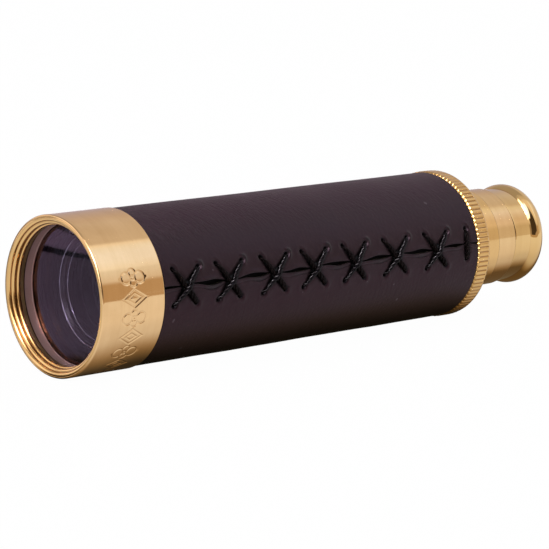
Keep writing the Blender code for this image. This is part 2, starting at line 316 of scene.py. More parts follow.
def leather_material(name):
    mat, t = material(name)
    coord, along, radius, angle = t.tube_coords()
    girth = angle * 17.33
    height = t.math("SINE", angle)             # from -1 below the tube to 1 above it

    # a fine pebbled grain with pores between, its cells warped by up to about a mm
    drift = t.node("VectorMath", t.noise(coord, scale=420.0, detail=2.0)["Color"],
                   operation="SCALE", Scale=0.0011)
    warped = t.node("VectorMath", coord, drift, operation="ADD")
    pebble = t.node("TexVoronoi", feature="SMOOTH_F1", Vector=warped, Scale=1250.0,
                    Smoothness=0.6)
    small_pebble = t.node("TexVoronoi", feature="F1", Vector=warped, Scale=2600.0)
    fine = t.noise(coord, scale=3600.0, rough=0.6)

    # creases that run round the tube on a slant, in patches over the top, fainter
    # towards the rear
    slant = along + girth * 0.42
    crease_at = t.combine(slant * 1.0, girth * 0.20, 0.0)
    crease = t.noise(crease_at, scale=1.05, rough=0.55, distortion=0.35)
    crease = t.ramp(abs(crease - 0.5), span=(0.0, 0.12), to=(1.0, 0.0))
    top = t.ramp(height, span=(0.47, 0.96))
    patch = t.ramp(t.noise(coord, scale=38.0, detail=2.0), span=(0.38, 0.62))
    crease = crease * (top * (0.25 + patch * 0.75))
    crease = crease * t.ramp(along, span=(38.0, 72.0), to=(1.0, 0.22))

    # faint drawn streaks on the lower half
    streak = t.noise(t.combine(along, girth * 0.05, 0.0), scale=1.7, rough=0.6)
    low = t.ramp(height, span=(0.07, -0.42))

    # tone: clouds, pores, streaks, painted shade in pits and pale lint
    cloud = t.noise(coord, scale=60.0)
    # painted shade: deep pits, such as the stitch holes and the seam, are drawn nearly black and
    # reflect less
    pit = t.crevice(reach=0.0022, span=(0.30, 0.97))
    lint = t.ramp(t.noise(coord, scale=520.0, detail=1.0, rough=0.4), span=(0.790, 0.805))
    tone = t.mix(t.ramp(cloud, span=(0.3, 0.7)), (0.0074, 0.0034, 0.0038),
                 (0.0108, 0.0050, 0.0056))
    tone = t.mix(t.ramp(pebble, span=(0.30, 0.75)) * 0.35, tone, (0.004, 0.0022, 0.0026))
    tone = t.mix(streak * low * 0.35, tone, (0.0150, 0.0080, 0.0075))
    tone = t.mix(pit, tone, (0.0006, 0.0004, 0.0004))
    tone = t.mix(lint * 0.5, tone, (0.10, 0.08, 0.09))
    # roughness: clouds and fine grain add to it, pits take some away
    dull = 0.40 + t.ramp(cloud, span=(0.3, 0.75)) * 0.06
    dull = dull + fine * 0.06
    dull = dull - pit * 0.08

    bump = t.bump(pebble, strength=0.34, depth=0.00010)
    bump = t.bump(small_pebble, strength=0.18, depth=0.00005, below=bump)
    bump = t.bump(fine, strength=0.14, depth=0.00002, below=bump)
    bump = t.bump(crease, strength=0.80, depth=0.00017, below=bump)
    bump = t.bump(streak * low, strength=0.45, depth=0.00012, below=bump)

    # painted light: the top of the tube is drawn lighter and violet
    painted_top_light = t.ramp(height, span=(0.62, 1.0), to=(0.0, 0.85))
    tone = t.mix(painted_top_light * (1.0 - pit), tone, (0.026, 0.0095, 0.0175))
    dull = dull + painted_top_light * 0.04
    # painted shade underneath: the very bottom is drawn darker, and below the middle the reflections
    # are weaker and pinker
    under = t.ramp(height, span=(0.14, -0.31))
    deep = t.ramp(height, span=(-0.47, -0.88))
    tone = t.mix(deep * 0.45, tone, (0.0020, 0.0008, 0.0006))
    # the specular level, less where light is painted on top, under the painted underside shade and
    # in pits
    gloss = (0.31 - painted_top_light * 0.10) - (under * 0.035 + deep * 0.09)
    # reflections are pink on the flat, paler where the hide stands up and in pits
    sheen = t.mix(under, (1.0, 0.58, 0.74), (1.0, 0.40, 0.56))
    sheen = t.mix(t.ramp(radius, span=(17.40, 17.56)), sheen, (1.0, 0.84, 0.92))
    sheen = t.mix(pit * 0.9, sheen, (0.96, 0.94, 1.0))
    t.principled(Base_Color=tone, Roughness=dull, Normal=bump,
                 Specular_IOR_Level=gloss * (1.0 - pit * 0.50), Specular_Tint=sheen)
    return mat


def raw_edge_material(name):
    """The cut edge of the hide, paler and fibrous."""
    mat, t = material(name)
    fibre = t.noise(t.object_coords(), scale=2600.0, detail=4.0, rough=0.65)
    tone = t.mix(fibre, (0.006, 0.0048, 0.0030), (0.026, 0.021, 0.013))
    t.principled(Base_Color=tone, Roughness=0.75, Specular_IOR_Level=0.08,
                 Normal=t.bump(fibre, strength=0.6, depth=0.00008))
    return mat


def cord_material(name, wax_tone, rough, gloss, sheen=0.0):
    """Waxed cord; sheen is how strongly a highlight is painted, as a pale tone, on the
    crests that face forwards and up."""
    mat, t = material(name)
    coord = t.object_coords()
    fibre = t.noise(coord, scale=5200.0, rough=0.6)
    wax = t.noise(coord, scale=900.0, detail=2.0)
    tone = t.mix(t.ramp(wax, span=(0.35, 0.7)), wax_tone, scaled(wax_tone, 2.3))
    # painted shade: deep in the crevices between the plies the reflection is dimmed
    pit = t.crevice(reach=0.0012, span=(0.15, 0.75))
    if sheen:
        # painted highlight: a pale tone where the surface faces forwards, towards -Y and up
        towards = (-0.78, -0.42, 0.46)
        facing = t.node("VectorMath", t.node("NewGeometry")["Normal"], towards,
                        operation="DOT_PRODUCT")["Value"]
        patch = t.noise(coord, scale=700.0, detail=1.0)
        painted_glint = t.ramp(facing, span=(0.955, 0.995)) * t.ramp(patch, span=(0.36, 0.50))
        tone = t.mix(painted_glint * sheen, tone, (0.42, 0.38, 0.40))
    t.principled(
        Base_Color=tone,
        Roughness=t.ramp(wax, span=(0.3, 0.7), to=(rough, rough + 0.14)) + pit * 0.3,
        Normal=t.bump(fibre, strength=0.18, depth=0.00001),
        Specular_IOR_Level=gloss - pit * (gloss * 0.92),
        Specular_Tint=(1.0, 0.80, 0.86),
    )
    return mat


def black_metal(name, tone, rough, gloss, metal=0.15):
    """Satin metal, black unless the tone says otherwise, with faint turned rings."""
    mat, t = material(name)
    coord, along, radius, angle = t.tube_coords()
    fine = t.noise(t.combine(along, radius, angle * 0.4), scale=7.0, rough=0.6)
    cloud = t.noise(coord, scale=240.0, rough=0.55)
    t.principled(
        Base_Color=t.mix(t.ramp(cloud, span=(0.3, 0.7)), tone, scaled(tone, 1.7)),
        Metallic=metal,
        Roughness=t.ramp(fine, span=(0.3, 0.8), to=(rough - 0.08, rough + 0.1)),
        Normal=t.bump(fine, strength=0.4, depth=0.00003), Specular_IOR_Level=gloss,
    )
    return mat


def felt_material(name):
    mat, t = material(name)
    coord = t.object_coords()
    wool = t.noise(coord, scale=2600.0, detail=5.0, rough=0.7)
    cloud = t.noise(coord, scale=300.0, detail=2.0)
    tone = t.mix(wool, (0.020, 0.028, 0.020), (0.060, 0.075, 0.055))
    tone = t.mix(cloud * 0.4, tone, (0.02, 0.02, 0.018))
    t.principled(Base_Color=tone, Roughness=0.95, Sheen_Weight=0.5, Sheen_Roughness=0.5,
                 Normal=t.bump(wool, strength=0.9, depth=0.0002))
    return mat


def lens_material(name, tint, clear, head_on):
    """Coated glass: clear, with a tinted mirror at its outer faces that grows from
    head_on towards grazing; no reflection from inside the glass."""
    mat, t = material(name)
    coord = t.object_coords()
    dust = t.ramp(t.noise(coord, scale=2400.0, detail=2.0), span=(0.74, 0.80))
    film = t.noise(coord, scale=70.0)
    inside = t.node("NewGeometry")["Backfacing"]
    # the body: see-through, with an even haze and a little dust
    haze = 0.0004
    body = t.mix_shader(haze + dust * 0.012,
                        t.node("BsdfTransparent", Color=clear),
                        t.node("BsdfDiffuse", Color=(0.40, 0.36, 0.44)))
    grazing = t.node("LayerWeight", Blend=0.5)["Facing"] ** 5.0
    mirror = t.node("BsdfGlossy", Color=t.mix(grazing, tint, WHITE),
                    Roughness=t.ramp(film, span=(0.3, 0.7), to=(0.010, 0.035)))
    strength = head_on + grazing * (1.0 - head_on)
    t.surface(t.mix_shader(strength * (1.0 - inside), body, mirror))
    return mat


def ground_glass(name):
    """The ground edge of a lens, matt and pinkish."""
    mat, t = material(name)
    coord = t.object_coords()
    grit = t.noise(coord, scale=3000.0, rough=0.6)
    cloud = t.noise(coord, scale=200.0, detail=2.0)
    t.principled(Base_Color=t.mix(cloud, (0.36, 0.235, 0.190), (0.50, 0.335, 0.275)),
                 Roughness=0.55, Normal=t.bump(grit, strength=0.4, depth=0.00003),
                 Specular_IOR_Level=0.4)
    return mat


def eye_glass(name):
    """The eye lens, drawn opaque: its near-black tone is painted shade for the dark eyepiece behind
    it, under a violet sheen and faint smears.
    """
    mat, t = material(name)
    smear = t.noise(t.object_coords(), scale=260.0, detail=4.0, rough=0.6, distortion=0.4)
    # painted shade: the glass is near black instead of clear
    tone = t.mix(t.ramp(smear, span=(0.35, 0.7)), (0.0035, 0.0028, 0.0050),
                 (0.0060, 0.0048, 0.0090))
    t.principled(Base_Color=tone,
                 Roughness=t.ramp(smear, span=(0.40, 0.75), to=(0.025, 0.07)),
                 Specular_IOR_Level=0.42, Specular_Tint=(0.86, 0.76, 1.0))
    return mat


DEEP_BROWN = (0.54, 0.30, 0.12)                # deep tone of the ferrules and drawn tubes
# joints are (station, half a width, least radius, strength)
M = {
    "bezel": brass("bezel_brass", light=(0.800, 0.500, 0.246), deep=(0.520, 0.275, 0.095),
                   rough=0.085, marks=0.25, crease_mix=0.75, aniso=0.6, rim_shade=0.8),
    "ridge": brass("ridge_brass", light=(0.720, 0.430, 0.175), deep=(0.42, 0.205, 0.05),
                   rough=0.13, marks=0.25, crease_mix=1.0, aniso=0.2, reach=0.0013,
                   rim_shade=0.85),
    "mouth": brass("mouth_brass", light=(0.62, 0.36, 0.15), deep=(0.36, 0.18, 0.05),
                   rough=0.32, marks=0.6, crease_mix=0.7, aniso=0.2),
    "collar": brass("collar_brass", light=(0.675, 0.385, 0.125), deep=(0.42, 0.215, 0.06),
                    rough=0.20, marks=0.15, crease_mix=0.70, aniso=0.0, reach=0.0004,
                    teeth=TEETH, lacquer=0.45),
    "ferrule_1": brass("first_ferrule_brass", light=(0.750, 0.455, 0.180), deep=DEEP_BROWN,
                       rough=0.12, marks=0.22, crease_mix=0.7, aniso=0.6, under=0.3,
                       joints=[(123.24, 0.05, 12.02, 0.85)]),
    "ferrule_2": brass("second_ferrule_brass", light=(0.765, 0.485, 0.228), deep=DEEP_BROWN,
                       rough=0.12, marks=0.22, crease_mix=0.7, aniso=0.6, under=0.4,
                       joints=[(123.54, 0.04, 11.50, 0.75), (129.40, 0.06, 11.52, 0.90)]),
    "cup": brass("cup_brass", light=(0.740, 0.455, 0.176), deep=(0.50, 0.27, 0.075),
                 rough=0.045, marks=0.10, crease_mix=0.7, aniso=0.4, lacquer=0.5, under=0.4,
                 joints=[(129.66, 0.04, 10.50, 0.80)]),
    "drawn": brass("drawn_brass", light=(0.765, 0.490, 0.240), deep=DEEP_BROWN,
                   rough=0.11, marks=0.22, crease_mix=0.7, aniso=0.4),
    "inside": brass("inside_brass", light=(0.34, 0.22, 0.11), deep=(0.20, 0.12, 0.05),
                    rough=0.30, marks=0.3, crease_mix=0.8, aniso=0.1),
    "leather": leather_material("sleeve_leather"),
    "raw_edge": raw_edge_material("cut_leather_edge"),
    "cord": cord_material("waxed_cord", wax_tone=(0.0018, 0.0014, 0.0016), rough=0.15,
                          gloss=0.13, sheen=0.85),
    "cord_dull": cord_material("waxed_cord_dull", wax_tone=(0.0022, 0.0013, 0.0011),
                               rough=0.50, gloss=0.07),
    "black": black_metal("blackened_metal", tone=(0.0022, 0.0018, 0.0020), rough=0.6,
                         gloss=0.05, metal=0.0),
    "satin": black_metal("satin_black_metal", tone=(0.008, 0.0065, 0.0085), rough=0.32,
                         gloss=0.25),
    "bright_edge": black_metal("rubbed_black_edge", tone=(0.42, 0.40, 0.46), rough=0.22,
                               gloss=0.5, metal=0.9),
    "gasket": black_metal("seat_gasket", tone=(0.106, 0.062, 0.025), rough=0.45, gloss=0.3),
    "felt": felt_material("wool_felt"),
    "coated": lens_material("coated_glass", tint=(1.0, 0.62, 0.90), clear=(0.86, 0.82, 0.88),
                            head_on=0.027),
    "clear": lens_material("clear_glass", tint=(0.85, 1.0, 0.92), clear=(0.96, 0.97, 0.96),
                           head_on=0.004),
    "ground": ground_glass("ground_glass_edge"),
    "eye": eye_glass("eye_lens_glass"),
}

# =====================================================================
# mesh helpers
# =====================================================================
collection = bpy.data.collections.new("telescope_looks")
bpy.context.scene.collection.children.link(collection)


def place(name, verts, faces, mats, body, node, indices=None, sharp=50):
    """A finished piece that rides on a body and stands for a CAD node.

    Indices pick one of its materials for each face; sharp is in degrees.
    """
    mesh = bpy.data.meshes.new(name)
    mesh.from_pydata([tuple(v) for v in verts], [], faces)
    mesh.update()
    for mat in mats:
        mesh.materials.append(M[mat])
    if indices is not None:
        mesh.polygons.foreach_set("material_index", indices)
    mesh.shade_smooth()
    mesh.set_sharp_from_angle(angle=math.radians(sharp))
    obj = bpy.data.objects.new(name, mesh)
    collection.objects.link(obj)
    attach(obj, body)
    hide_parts(node)


def tube_points(station, radius, angle):
    """World points from stations and radii in mm and angles round the tube."""
    s, r, a = np.broadcast_arrays(station, radius, angle)
    return np.stack([FRONT + s * MM, -r * MM * np.cos(a), r * MM * np.sin(a)], -1)


def full_turn(count):
    return np.arange(count) * 2 * math.pi / count


def grid_faces(rows, cols, wrap_rows=True):
    """Quads of a grid of points that always closes round its columns."""
    i = np.arange(rows if wrap_rows else rows - 1)
    I, J = np.meshgrid(i, np.arange(cols), indexing="ij")
    I1, J1 = (I + 1) % rows, (J + 1) % cols
    f = np.stack([I * cols + J, I1 * cols + J, I1 * cols + J1, I * cols + J1], -1)
    return f.reshape(-1, 4).tolist()


def end_caps(rows, cols):
    """Faces that close the first and the last row of a grid."""
    return [list(range(cols)), [(rows - 1) * cols + j for j in reversed(range(cols))]]


def merge(parts):
    """One mesh out of a list of (points, faces)."""
    verts, faces, count = [], [], 0
    for part_verts, part_faces in parts:
        verts.append(part_verts)
        faces.extend([[i + count for i in face] for face in part_faces])
        count += len(part_verts)
    return np.concatenate(verts), faces


def fillet(corners):
    """A closed outline of (station, radius, rounding) corners, rounded off.

    Long straight runs get a support point close to each end, so that the smooth
    shading stays flat along them. A corner with no rounding is a plain point.
    """
    degrees_a_step, support, long_run = 14.0, 0.06, 0.3
    points = [np.array(corner[:2], float) for corner in corners]
    out = []
    for k, corner in enumerate(corners):
        point, rounding = points[k], corner[2]
        if rounding <= 0:
            out.append(point)
            continue
        back, ahead = points[k - 1] - point, points[(k + 1) % len(points)] - point
        back_length, ahead_length = np.linalg.norm(back), np.linalg.norm(ahead)
        back, ahead = back / back_length, ahead / ahead_length
        turn = math.acos(max(-1.0, min(1.0, float(back @ ahead))))
        cut = min(rounding / math.tan(turn / 2), 0.45 * back_length, 0.45 * ahead_length)
        rounding = cut * math.tan(turn / 2)
        middle = (back + ahead) / np.linalg.norm(back + ahead)
        centre = point + middle * (rounding / math.sin(turn / 2))
        start, end = point + back * cut, point + ahead * cut
        if back_length > cut * 2 + long_run:
            out.append(start + back * support)
        first = math.atan2(*(start - centre)[::-1])
        last = math.atan2(*(end - centre)[::-1])
        sweep = (last - first + math.pi) % (2 * math.pi) - math.pi
        count = max(2, int(round(abs(math.degrees(sweep)) / degrees_a_step)))
        for i in range(count + 1):
            w = first + sweep * i / count
            out.append(centre + rounding * np.array([math.cos(w), math.sin(w)]))
        if ahead_length > cut * 2 + long_run:
            out.append(end + ahead * support)
    return np.array(out)


def arc(station, radius, bend, start, end, count, stretch=1.0):
    """Arc of radius bend about (station, radius); degrees from outwards to +station."""
    return [(station + stretch * bend * math.sin(math.radians(w)),
             radius + bend * math.cos(math.radians(w)))
            for w in np.linspace(start, end, count)]


def bowed(start, end, sagitta, count):
    """Arc from start up to but not including end, bowed to the left of the way."""
    start, end = np.array(start, float), np.array(end, float)
    chord = end - start
    half = np.linalg.norm(chord) / 2
    radius = (half * half + sagitta * sagitta) / (2 * sagitta)
    side = np.array([-chord[1], chord[0]]) / (2 * half)
    centre = (start + end) / 2 - side * (radius - sagitta)
    first = math.atan2(*(start - centre)[::-1])
    last = math.atan2(*(end - centre)[::-1])
    sweep = (last - first + math.pi) % (2 * math.pi) - math.pi
    return [tuple(centre + radius * np.array([math.cos(first + sweep * t),
                                              math.sin(first + sweep * t)]))
            for t in np.linspace(0, 1, count, endpoint=False)]


def oriented(outline):
    """The outer side runs towards +X, so that faces point out."""
    s, r = outline[:, 0], outline[:, 1]
    area = float(np.sum(s * np.roll(r, -1) - np.roll(s, -1) * r))
    return outline[::-1] if area > 0 else outline


def midpoints(outline):
    return (outline + np.roll(outline, -1, axis=0)) / 2


def spin(outline, angles):
    """Grid of points: outline against angles round the tube."""
    return tube_points(outline[:, 0, None], outline[:, 1, None], angles[None, :])


def spun(name, outline, mats, body, node, segments=256, pick=None, sharp=50):
    """An outline spun round the axis. pick(station, radius) numbers the material there."""
    outline = oriented(outline)
    indices = None
    if pick:
        indices = np.repeat([int(pick(s, r)) for s, r in midpoints(outline)], segments)
    place(name, spin(outline, full_turn(segments)).reshape(-1, 3),
          grid_faces(len(outline), segments), mats, body, node, indices, sharp)


def turned(name, corners, mats, body, node, segments=256, pick=None):
    """A turned piece from its (station, radius, rounding) corners."""
    spun(name, fillet(corners), mats, body, node, segments, pick)


def ring(name, start, end, inner, outer, mat, body, node, edge=0.12, segments=192):
    corners = [(start, inner, edge), (start, outer, edge), (end, outer, edge), (end, inner, edge)]
    turned(name, corners, [mat], body, node, segments)


def lens(name, front, rear, front_curve, rear_curve, half, body, node,
         face="clear", edge="ground", segments=128, rings=18):
    """Two spherical faces with a ground edge and a tiny chamfer at each rim.

    The curves are radii of curvature, positive for a centre towards +X and 0 for a
    flat face; half is the rim's radius.
    """
    def sag(curve, h):
        if not curve:
            return 0.0
        q = abs(curve)
        return math.copysign(q - math.sqrt(q * q - h * h), curve)

    chamfer = 0.15
    rim = half - chamfer
    heights = [rim * i / rings for i in range(1, rings + 1)]
    outline = [(front + sag(front_curve, h), h) for h in heights]
    outline.append((front + sag(front_curve, rim) + chamfer, half))
    outline.append((rear + sag(rear_curve, rim) - chamfer, half))
    outline += [(rear + sag(rear_curve, h), h) for h in reversed(heights)]
    rows = len(outline)
    verts = spin(np.array(outline), full_turn(segments)).reshape(-1, 3).tolist()
    faces = grid_faces(rows, segments, wrap_rows=False)
    indices = []
    for i in range(rows - 1):
        at_rim = rings - 1 <= i <= rings + 1
        indices += [int(at_rim)] * segments
    # fans to a point in the middle of each face
    front_middle, rear_middle = len(verts), len(verts) + 1
    verts += [(FRONT + front * MM, 0, 0), (FRONT + rear * MM, 0, 0)]
    last = (rows - 1) * segments
    for j in range(segments):
        k = (j + 1) % segments
        faces += [[front_middle, j, k], [rear_middle, last + k, last + j]]
        indices += [0, 0]
    place(name, verts, faces, [face, edge], body, node, indices, sharp=25)


# =====================================================================
# objective end
# =====================================================================
BEZEL_END = 16.4


def engraving(station, girth):
    """Depth in mm of the engraved band: outlined rosettes and lozenges in turn."""
    line, depth = 0.17, 0.105
    pitch, count = 4.3, 8
    first_girth, middle = 7.5, 8.45         # the band starts above the middle and runs down
    cell = (first_girth - girth) / pitch
    number = np.floor(cell)
    du = (cell - number - 0.5) * pitch      # round the tube, from the figure's centre
    dv = station - middle                   # along it
    live = (number >= 0) & (number < count)

    def lozenge(width, height):
        reach = np.abs(du) / width + np.abs(dv) / height - 1
        return reach * (width * height) / math.hypot(width, height)

    # a lozenge with a smaller one in it
    lozenges = np.minimum(np.abs(lozenge(1.85, 2.85)), np.abs(lozenge(0.80, 1.30)))
    # a rosette of four petals round a small circle
    petals = np.minimum(np.hypot(du, np.abs(dv) - 1.75) - 1.25,
                        np.hypot(np.abs(du) - 1.05, dv) - 0.85)
    rosette = np.minimum(np.abs(petals), np.abs(np.hypot(du, dv) - 0.42))
    shape = np.where((number % 2) == 0, rosette, lozenges)
    cut = 1 - smooth(line * 0.55, line * 1.35, shape)
    return np.where(live, cut * depth, 0.0)


def make_bezel():
    rim_round = 0.34
    outline = arc(0.36, BEZEL_R - rim_round, rim_round, -90, -10, 8)
    # the plain outside, close-set where the engraving lies
    outline += [(s, BEZEL_R) for s in np.r_[0.42, 0.9, 2.0, 3.4, 4.6,
                                            np.arange(5.2, 11.75, 0.09),
                                            12.4, 14.0, 15.6, 16.15]]
    outline += [(16.22, BEZEL_R), (16.32, BEZEL_R - 0.03), (16.385, BEZEL_R - 0.10),
                (BEZEL_END, BEZEL_R - 0.2)]
    # inside, forwards to the lip
    outline += [(BEZEL_END, 16.3), (BEZEL_END, 16.15), (11.3, 16.15), (11.3, 15.85),
                (2.70, 15.85), (2.64, 15.8), (2.64, 15.32), (2.62, 15.24),
                (2.58, 15.2), (2.50, 15.2)]
    # mouth, from the lip forwards to the rim: three rounded ridges, two grooves
    outline += bowed((2.46, 15.21), (1.70, 15.53), sagitta=0.27, count=12)
    outline += [(1.675, 15.60)]
    outline += bowed((1.64, 15.57), (0.72, 16.03), sagitta=0.33, count=14)
    outline += [(0.70, 16.10)]
    outline += bowed((0.66, 16.09), (0.08, 17.04), sagitta=0.30, count=14)
    outline += [(0.06, 17.06), (0.02, 17.10)]
    outline = oriented(np.array(outline))

    # close-set angles over the engraved girths, wider ones round the rest
    dense = np.arange(-27.6, 8.6, 0.095) / BEZEL_R
    rest = np.linspace(dense[-1], dense[0] + 2 * math.pi, 170)[1:-1]
    angles = np.r_[dense, rest]
    girth = ((angles + math.pi) % (2 * math.pi) - math.pi)[None, :] * BEZEL_R
    s, r = outline[:, 0, None], outline[:, 1, None]
    outer = (r > 17.45) & (s > 4.9) & (s < 12.0)
    r = r - np.where(outer, engraving(s, girth), 0.0)

    mid_s, mid_r = midpoints(outline).T
    black = (mid_r < 16.4) & (mid_s > 2.8)
    mouth = (mid_r < 15.9) & (mid_s > 2.60)
    ridge = (mid_r < 17.2) & (mid_s < 2.60)
    indices = np.repeat(np.select([black, mouth, ridge], [3, 1, 2]), len(angles))
    place("objective_bezel_shell", tube_points(s, r, angles[None, :]).reshape(-1, 3),
          grid_faces(len(outline), len(angles)), ["bezel", "mouth", "ridge", "black"],
          "barrel", "objective_bezel", indices)


make_bezel()
ring("objective_seat_gasket", 2.73, 3.5, 15.3, SEAT_R, "gasket", "barrel",
     "objective_seat_ring", edge=0.08)
lens("objective_crown_glass", front=2.75, rear=7.0, front_curve=112.0, rear_curve=-108.0,
     half=SEAT_R, body="barrel", node="objective_crown_lens", face="coated")
lens("objective_flint_glass", front=7.15, rear=8.1, front_curve=-108.0, rear_curve=-620.0,
     half=SEAT_R, body="barrel", node="objective_flint_lens", edge="black")
ring("objective_lock_ring", 8.6, 10.5, 14.5, SEAT_R, "satin", "barrel",
     "objective_retaining_ring")
ring("barrel_body_tube", 11.6, TUBE_REAR, TUBE_BORE, TUBE_R, "black", "barrel",
     "barrel_tube")


def make_barrel_bush():
    """A bush at the rear of the tube, waisted between two lands 3 mm long."""
    front, rear, land = 91.6, TUBE_REAR, 3.0
    bore, waist, outer = DRAWS[0][0] + SLIDE_GAP, 12.6, 15.05
    turned("barrel_slide_bush",
           [(front, bore, .1), (front, outer, .2), (front + land, outer, .1),
            (front + land, waist, .2), (rear - land, waist, .2), (rear - land, outer, .1),
            (rear, outer, .2), (rear, bore, .1)],
           ["inside"], "barrel", "barrel_guide_bush", 128)


make_barrel_bush()

# =====================================================================
# leather sleeve
# =====================================================================
TOP, FOOT = 6.1, -1.7                          # girths of the stitch holes
# Cross stitches: centre station, then offsets from it of the corners
# top front, top rear, foot front, foot rear
STITCHES = [
    (22.5, -3.1, 3.9, -3.4, 2.6), (34.6, -3.3, 4.0, -3.2, 2.8), (47.3, -3.3, 4.2, -3.2, 3.0),
    (59.1, -3.2, 4.1, -3.3, 2.9), (71.1, -2.9, 4.1, -2.9, 2.9), (84.0, -3.3, 4.2, -3.3, 3.0),
    (97.1, -3.3, 3.8, -3.1, 2.8),
]
CENTRES = [stitch[0] for stitch in STITCHES]
END_STITCH = 107.2                             # a single strand

# the strands: (top point, foot point, lies on top), points as (station, girth)
LEGS = []
for centre, top_front, top_rear, foot_front, foot_rear in STITCHES:
    LEGS.append((np.array([centre + top_front + 0.15, TOP - 0.2]),
                 np.array([centre + foot_rear + 0.1, FOOT - 0.05]), False))
    LEGS.append((np.array([centre + top_rear - 0.1, TOP - 0.35]),
                 np.array([centre + foot_front + 0.1, FOOT - 0.15]), True))
LEGS.append((np.array([END_STITCH + 0.2, TOP - 0.1]),
             np.array([END_STITCH - 0.25, FOOT + 0.8]), False))


def seam_line(s):
    """Girth of the seam: it wavers, and sits a little higher towards the rear."""
    return 2.12 + 0.22 * smooth(60, 112, s) + 0.16 * np.sin(s * 0.31 + 0.6) + 0.10 * np.sin(s * 0.83)


def seam_gap(s):
    """Half the opening between the two edges, shut where the stitches cross."""
    shut = 0.05
    knots = [SLEEVE_START - 5.0] + CENTRES + [END_STITCH, 112.5]
    # how far each stretch between two knots gapes
    gapes = [0.16, 0.50, 0.42, 0.34, 0.36, 0.38, 0.42, 0.30, 0.10]
    half = np.full(s.shape, shut)
    for k, gape in enumerate(gapes):
        a, b = knots[k] + 1.2, knots[k + 1] - 1.2
        skew = np.clip((s - a) / (b - a), 0, 1) ** 1.5
        half = np.maximum(half, shut + gape * np.sin(math.pi * skew) ** 1.4)
    return half


def hole_lift(s, g, hole, away, bank_height):
    """A stitch hole, torn a little along the pull of its cord, with one steep wall
    that stands up behind the cord."""
    es, eg = s - hole[0], g - hole[1]
    fore = es * away[0] + eg * away[1]
    side = es * away[1] - eg * away[0]
    e = np.hypot(fore / 1.15, side / 0.85)
    pit = np.exp(-(e / 0.55) ** 4.0)
    lean = es * 0.80 + eg * 0.30               # towards the rear and up
    bank = bell(e - 1.12, 0.36) * smooth(0.0, 0.9, lean)
    return np.where(e < 5, -0.80 * pit + 0.025 * bell(e - 1.35, 0.45) + bank_height * bank, 0.0)


def surface_lift(s, g):
    """Millimetres that the hide stands proud of (or sinks below) its cylinder."""
    h = np.zeros(np.broadcast(s, g).shape)
    # cords press into it, deepest halfway, and raise a swelling on either side
    for top, foot, over in LEGS:
        way = foot - top
        length = np.linalg.norm(way)
        way = way / length
        ps, pg = s - top[0], g - top[1]
        t = np.clip(ps * way[0] + pg * way[1], 0, length)
        dist = np.hypot(ps - t * way[0], pg - t * way[1])
        press = (0.15 + 0.20 * bell(t - length / 2, 2.6)) * bell(dist, 0.70)
        swell = 0.030 * bell(dist - 1.55, 0.60)
        h = h + np.where(dist < 4.5, swell - press, 0.0)
        h = h + hole_lift(s, g, top, way, 0.30 if over else 0.10)
        h = h + hole_lift(s, g, foot, -way, 0.08)
    # hide pulled down in a shallow dish round every cross, inside a wavy rim
    for c in CENTRES:
        e = np.hypot((s - c) / 4.9, (g - 2.2) / 5.0)
        h = h - 0.055 * bell(e, 0.75)
        wave = 0.6 + 0.4 * np.sin(7.0 * np.arctan2(g - 2.2, s - c) + c)
        h = h + 0.030 * bell(e - 1.12, 0.16) * wave
    # edges of the seam: flat at the stitches, curled up between them
    seam, gap = seam_line(s), seam_gap(s)
    off = np.abs(g - seam)
    below = (g < seam)
    open_here = (gap - 0.05) / 0.45
    curl = bell(off - gap - 0.30, 0.62)
    h = h + curl * (0.26 * open_here + 0.03) * np.where(below, 1.0, 0.75)
    # a crease pressed in under the lower edge, where it was folded over
    crease = bell(off - (gap + 0.84 + 0.12 * np.sin(s * 0.9)), 0.13)
    h = h - np.where(below, crease * 0.21 * (0.35 + 0.65 * np.clip(open_here, 0, 1)), 0.0)
    # the hide isn't quite round
    h = h + 0.030 * np.sin(s * 0.145 + g * 0.11) * np.cos(g * 0.19 + 1.3)
    h = h + 0.020 * np.sin(s * 0.41 - g * 0.23 + 0.5) * np.sin(g * 0.31)
    # slanted creases over the top of the tube, fainter towards the rear
    over_top = smooth(12, 24, g) * (1 - smooth(36, 46, g))
    over_top = over_top * (1 - 0.75 * smooth(38, 72, s))
    wave = np.sin((s + 0.42 * g) * 2 * math.pi / 3.1 + 1.7 * np.sin(g * 0.35)
                  + 1.1 * np.sin(s * 0.21))
    return h - 0.022 * over_top * np.maximum(0, wave) ** 3 * (0.5 + 0.5 * np.sin(s * 0.13 + 1.0))


def rounded_off(distance, radius):
    """How far a surface falls, this far from an edge rounded to the radius."""
    fall = radius - np.sqrt(np.maximum(0, radius ** 2 - (radius - distance) ** 2))
    return np.where(distance < radius, fall, 0.0)


